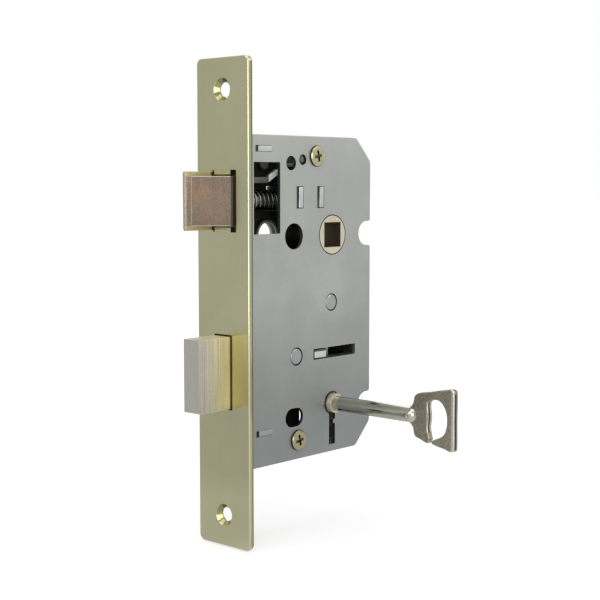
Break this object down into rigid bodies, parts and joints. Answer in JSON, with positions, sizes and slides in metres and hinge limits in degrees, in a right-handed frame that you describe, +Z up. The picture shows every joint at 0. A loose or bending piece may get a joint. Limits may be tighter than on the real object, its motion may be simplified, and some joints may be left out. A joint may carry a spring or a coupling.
{
  "type": "mortise sashlock",
  "caption": "Mortise sashlock with bevelled spring latch, handle follower, lever deadbolt, flat steel case, long faceplate and a key in the keyhole.",
  "frame": {"origin": "centre of the faceplate's front face, midway between its two fixing screws", "axes": "+X into the door along the case depth, +Z up along the faceplate, -Y towards the side with the cover screws and the key"},
  "size_m": [0.0778, 0.0705, 0.155],
  "materials": {
    "faceplate_brass": "polished pale brass",
    "case_zinc": "satin zinc plate",
    "bracket_zinc": "bright zinc plate",
    "pillar_zinc": "bright zinc plate",
    "post_zinc": "zinc plated rivet",
    "screw_yellow": "yellow passivated",
    "steel": "bare steel",
    "spring_steel": "drawn wire",
    "latch_sintered": "fine ground, slightly pink",
    "bolt_sintered": "fine ground",
    "follower_brass": "cast, pale",
    "lever_steel": "stamped",
    "key_nickel": "polished nickel plate",
    "key_bow_nickel": "cast, nickel plated"
  },
  "bodies": {
    "case": {"faceplate": "faceplate_brass", "faceplate_rivets": "steel", "case_back": "case_zinc", "case_cover": "case_zinc", "bracket_top": "bracket_zinc", "bracket_bottom": "bracket_zinc", "cover_pillar_top": "pillar_zinc", "cover_pillar_bottom": "pillar_zinc", "cover_screws": "screw_yellow", "lever_pivot_post": "post_zinc", "spring_post": "post_zinc", "latch_guide_front": "bracket_zinc", "latch_guide_rear": "bracket_zinc", "latch_spring": "spring_steel", "follower_spring": "spring_steel"},
    "latch": {"latch_head": "latch_sintered", "latch_pin": "steel", "latch_rod": "steel", "latch_stirrup": "steel", "latch_strip": "bracket_zinc"},
    "follower": {"follower": "follower_brass"},
    "deadbolt": {"deadbolt_head": "bolt_sintered", "deadbolt_tail": "steel", "deadbolt_stump": "steel", "deadbolt_rivets": "steel"},
    "first_lever": {"lever_1": "lever_steel", "lever_spring_1": "spring_steel"},
    "second_lever": {"lever_2": "lever_steel", "lever_spring_2": "spring_steel"},
    "third_lever": {"lever_3": "lever_steel", "lever_spring_3": "spring_steel"},
    "key": {"key_shaft": "key_nickel", "key_bit": "key_nickel", "key_collar": "key_nickel", "key_bow": "key_bow_nickel", "key_bow_pin": "key_nickel"}
  },
  "joints": [
    {"name": "follower_turn", "type": "hinge", "parent": "case", "child": "follower", "pos_m": [0.044, 0, 0.0212], "axis": [0, 1, 0], "range_deg": [0, 48], "stiffness_Nm_per_rad": 0.25, "springref_deg": -20.05, "deforming": ["follower_spring"]},
    {"name": "latch_slide", "type": "slide", "parent": "case", "child": "latch", "axis": [1, 0, 0], "range_m": [0, 0.0116], "stiffness_N_per_m": 30, "springref_m": -0.012, "deforming": ["latch_spring"]},
    {"name": "key_turn", "type": "hinge", "parent": "case", "child": "key", "pos_m": [0.044, 0, -0.0358], "axis": [0, 1, 0], "range_deg": [0, 360]},
    {"name": "deadbolt_slide", "type": "slide", "parent": "case", "child": "deadbolt", "axis": [1, 0, 0], "range_m": [0, 0.0138]},
    {"name": "first_lever_turn", "type": "hinge", "parent": "case", "child": "first_lever", "pos_m": [0.0262, 0, -0.0183], "axis": [0, 1, 0], "range_deg": [0, 6], "stiffness_Nm_per_rad": 0.02, "springref_deg": 6.02, "deforming": ["lever_spring_1"]},
    {"name": "second_lever_turn", "type": "hinge", "parent": "case", "child": "second_lever", "pos_m": [0.0262, 0, -0.0183], "axis": [0, 1, 0], "range_deg": [0, 6], "stiffness_Nm_per_rad": 0.02, "springref_deg": 6.02, "deforming": ["lever_spring_2"]},
    {"name": "third_lever_turn", "type": "hinge", "parent": "case", "child": "third_lever", "pos_m": [0.0262, 0, -0.0183], "axis": [0, 1, 0], "range_deg": [0, 6], "stiffness_Nm_per_rad": 0.02, "springref_deg": 6.02, "deforming": ["lever_spring_3"]}
  ],
  "couplings": [
    {"joint": "latch_slide", "follows": "follower_turn", "m_per_rad": 0.013846},
    {"joint": "deadbolt_slide", "follows": "key_turn", "m_per_rad": 0.0021963}
  ]
}
